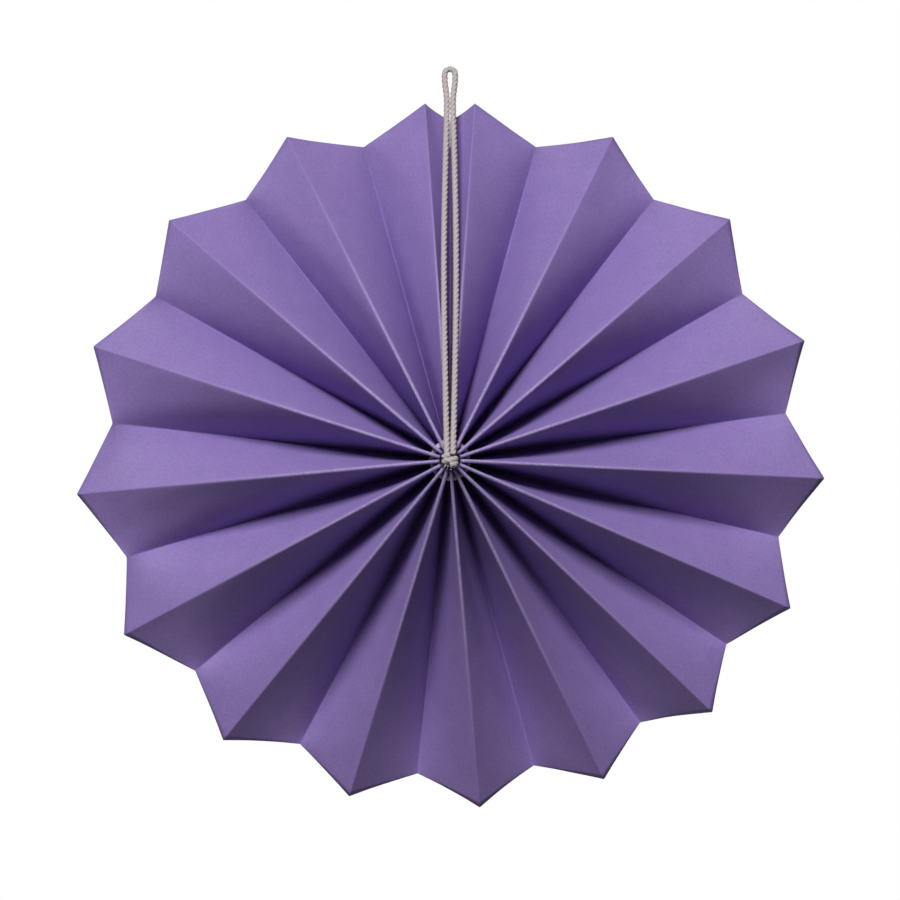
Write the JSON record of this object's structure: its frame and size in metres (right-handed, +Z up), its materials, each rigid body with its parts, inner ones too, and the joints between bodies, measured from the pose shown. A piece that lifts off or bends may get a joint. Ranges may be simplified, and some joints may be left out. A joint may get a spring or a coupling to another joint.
{
  "type": "paper fan rosette",
  "caption": "Round hanging decoration folded from one strip of paper: a pleated ring with a zigzag rim, closed at a taped seam and hung by a doubled string.",
  "frame": {"origin": "the point at the top inside of the string's loop, where it hangs on its nail or hook", "axes": "+Z up along the string, +Y from the front to the back through the hub, +X to the right seen from the front"},
  "size_m": [0.1969, 0.0487, 0.197],
  "materials": {
    "purple_paper": "uncoated coloured paper, matt",
    "double_sided_tape": "milky film tape",
    "off_white_string": "twisted cotton string"
  },
  "bodies": {
    "root": {"paper_fan": "purple_paper", "seam_tape": "double_sided_tape", "hub_string": "off_white_string", "hanging_string": "off_white_string"}
  },
  "joints": []
}
